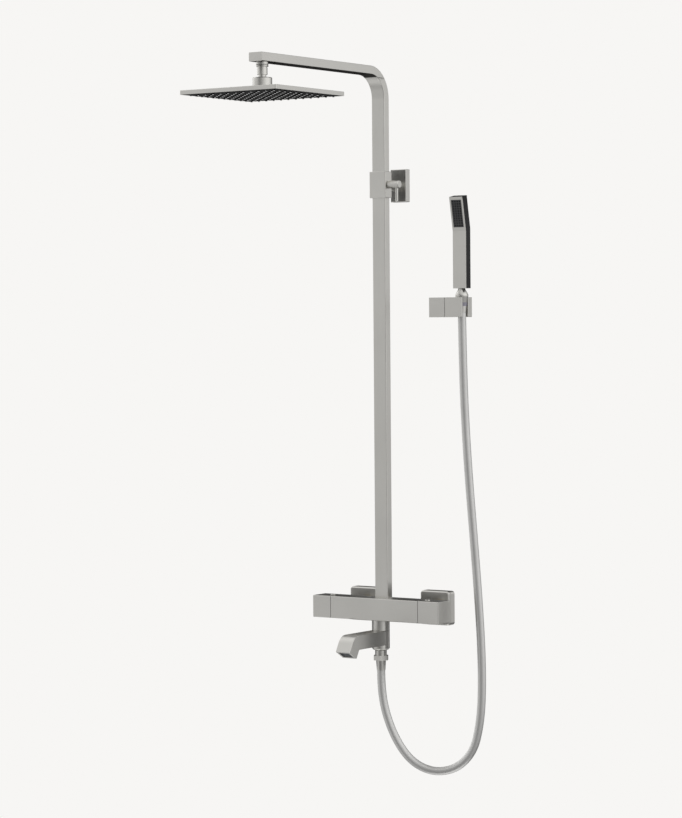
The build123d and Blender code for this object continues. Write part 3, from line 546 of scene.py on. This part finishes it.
# ---- light and floor ----------------------------------------------------
# Each lamp of the room: (turn in degrees from the front, level) and (rise in degrees, level).
LAMPS = [
    # Left and right.
    ([(-180, 0.05), (-150, 0.02), (-130, 0.03), (-118, 1.9), (-102, 3.4), (-80, 2.2), (-62, 0.3), (-40, 0),
      (-6, 0.1), (22, 0.35), (58, 1.2), (88, 3.1), (122, 2.7), (140, 1.2), (153, 0.95), (170, 0.25),
      (180, 0.05)],
     [(-90, 0.0), (-40, 0.0), (-18, 0.10), (-8, 0.54), (2, 0.92), (14, 1.25), (28, 1.5), (42, 1.2),
      (58, 0.3), (90, 0.03)]),
    # Front.
    ([(-180, 0), (-95, 0), (-70, 1.0), (-45, 1.35), (-28, 1.2), (-8, 0.25), (15, 0), (180, 0)],
     [(-90, 0.0), (-45, 0.12), (-30, 0.52), (-12, 0.60), (-4, 0.64), (3, 0.76), (12, 0.86), (30, 0.9),
      (45, 0.5), (60, 0.1), (90, 0)]),
    # Overhead, strongest towards the front.
    ([(-180, 0.4), (-130, 0.6), (-100, 1.1), (-33, 1.5), (30, 1.3), (80, 0.9), (120, 0.4), (180, 0.4)],
     [(-90, 0), (32, 0), (60, 1), (90, 0.6)]),
    # Straight up from the ground.
    ([(-180, 3.9), (180, 3.9)], [(-90, 1), (-66, 1), (-54, 0), (90, 0)]),
    # A low fill from all sides but the back right.
    ([(-180, 0.8), (-60, 0.7), (-40, 0.3), (-20, 0.25), (20, 0.3), (60, 0.5), (105, 0.2), (130, 0),
      (160, 0), (180, 0.8)],
     [(-90, 0.4), (-60, 0.7), (-35, 0.8), (-20, 0.4), (-10, 0), (90, 0)]),
]
# A ramp holds 0 to 1, so the levels are divided by these and the room's gain makes up for it.
TURN_SCALE = 4
RISE_SCALE = 2
ROOM_GAIN = TURN_SCALE * RISE_SCALE * 1.38
HIGHLIGHT_ROLL = 0.59
BACKDROP = (0.93, 0.921, 0.905, 1)


def world_ramp(tree, value, stops, low, high, scale):
    """A grey ramp over an angle in degrees; the stops' values are divided by the scale."""
    ramp = tree.nodes.new("ShaderNodeValToRGB")
    ramp.color_ramp.interpolation = "LINEAR"
    elements = ramp.color_ramp.elements
    while len(elements) < len(stops):
        elements.new(0.5)
    for element, (angle, level) in zip(elements, stops):
        element.position = (angle - low) / (high - low)
        element.color = (level / scale, level / scale, level / scale, 1)
    tree.links.new(value, ramp.inputs["Fac"])
    return ramp.outputs["Color"]


def world_math(tree, operation, first, second):
    """A math node; the second input is a socket, a number or nothing."""
    node = tree.nodes.new("ShaderNodeMath")
    node.operation = operation
    tree.links.new(first, node.inputs[0])
    if isinstance(second, (int, float)):
        node.inputs[1].default_value = second
    elif second:
        tree.links.new(second, node.inputs[1])
    return node.outputs[0]


def make_light():
    """A dark room with soft lamps for what the metal reflects, and a pale backdrop for the camera."""
    world = bpy.data.worlds.new("studio")
    world.use_nodes = True
    tree = world.node_tree
    way = tree.nodes.new("ShaderNodeSeparateXYZ")
    tree.links.new(tree.nodes.new("ShaderNodeTexCoord").outputs["Generated"], way.inputs[0])
    front = world_math(tree, "MULTIPLY", way.outputs["Y"], -1)
    turn = world_math(tree, "ARCTAN2", way.outputs["X"], front)
    turn = world_math(tree, "ADD", world_math(tree, "DIVIDE", turn, 2 * math.pi), 0.5)
    rise = world_math(tree, "ARCSINE", way.outputs["Z"], None)
    rise = world_math(tree, "ADD", world_math(tree, "DIVIDE", rise, math.pi), 0.5)
    room = tree.nodes["Background"]
    room.inputs["Color"].default_value = (1, 1, 1, 1)
    total = None
    for around, upward in LAMPS:
        lamp = world_math(tree, "MULTIPLY", world_ramp(tree, turn, around, -180, 180, TURN_SCALE),
                          world_ramp(tree, rise, upward, -90, 90, RISE_SCALE))
        total = world_math(tree, "ADD", total, lamp) if total else lamp
    bright = world_math(tree, "MULTIPLY", total, ROOM_GAIN)
    roll = world_math(tree, "ADD", world_math(tree, "MULTIPLY", bright, HIGHLIGHT_ROLL), 1)
    rolled = world_math(tree, "DIVIDE", bright, roll)
    tree.links.new(rolled, room.inputs["Strength"])
    backdrop = tree.nodes.new("ShaderNodeBackground")
    backdrop.inputs["Color"].default_value = BACKDROP
    path = tree.nodes.new("ShaderNodeLightPath")
    mix = tree.nodes.new("ShaderNodeMixShader")
    tree.links.new(path.outputs["Is Camera Ray"], mix.inputs["Fac"])
    tree.links.new(room.outputs["Background"], mix.inputs[1])
    tree.links.new(backdrop.outputs["Background"], mix.inputs[2])
    tree.links.new(mix.outputs["Shader"], tree.nodes["World Output"].inputs["Surface"])
    bpy.context.scene.world = world
    bpy.context.scene.view_settings.view_transform = "Standard"


def pale_floor():
    """Plain matt off-white, with a very faint cloud."""
    s = Shader("pale_floor", (0.93, 0.925, 0.91), 0.0, 0.9)
    s.bsdf.inputs["Specular IOR Level"].default_value = 0
    cloud = s.noise(0.6, 2)
    s.drive("Base Color", s.ramp(cloud, (0.92, 0.915, 0.90), (0.94, 0.935, 0.92)))
    return s.mat


FLOOR_RADIUS = 2.6
FLOOR_PLACE = (0, -0.2, -1.1)


def make_floor():
    """A plain pale floor well below the mixer; it throws no light back on the metal."""
    bm = bmesh.new()
    bmesh.ops.create_circle(bm, cap_ends=True, segments=96, radius=FLOOR_RADIUS)
    mesh = to_mesh(bm, "floor", Matrix.Translation(FLOOR_PLACE))
    floor = bpy.data.objects.new("floor", mesh)
    bpy.context.scene.collection.objects.link(floor)
    mesh.materials.append(pale_floor())
    floor.visible_glossy = False
    floor.visible_diffuse = False


def make_scrims():
    """Thin black scrims, unseen by the camera, that shade the places where other parts stand close."""
    facing = {"X": Matrix.Rotation(math.radians(90), 4, "Y"),
              "Y": Matrix.Rotation(math.radians(90), 4, "X"),
              "Z": Matrix()}
    arm_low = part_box("arm_end_cap")[0][2]
    for name, place, axis, wide, long, strength in (
            ("scrim_plate", (-0.030, -0.050, 0.7455), "Y", 0.044, 0.070, 0.9),
            ("scrim_cover_left", (-0.092, -0.040, 0.031), "Y", 0.080, 0.022, 0.45),
            ("scrim_cover_right", (0.060, -0.040, 0.031), "Y", 0.076, 0.022, 0.40),
            ("scrim_under_left", (-0.055, -0.075, -0.066), "X", 0.090, 0.070, 0.75),
            ("scrim_under_right", (0.060, -0.050, -0.066), "X", 0.090, 0.070, 0.75),
            ("scrim_handset", (0.160, -0.018, 0.735), "Y", 0.050, 0.035, 0.9),
            ("scrim_arm", (0, -0.270, arm_low - 0.004), "Z", 0.040, 0.400, 0.92)):
        bm = bmesh.new()
        bmesh.ops.create_grid(bm, x_segments=1, y_segments=1, size=0.5)
        matrix = Matrix.Translation(place) @ facing[axis] @ Matrix.Diagonal((wide, long, 1, 1))
        mesh = to_mesh(bm, name, matrix)
        scrim = bpy.data.objects.new(name, mesh)
        bpy.context.scene.collection.objects.link(scrim)
        cloth = Shader(name, (0.003, 0.003, 0.003), 0.0, 0.9)
        cloth.bsdf.inputs["Alpha"].default_value = strength
        cloth.bsdf.inputs["Specular IOR Level"].default_value = 0
        mesh.materials.append(cloth.mat)
        scrim.visible_camera = False


make_light()
make_floor()
make_scrims()
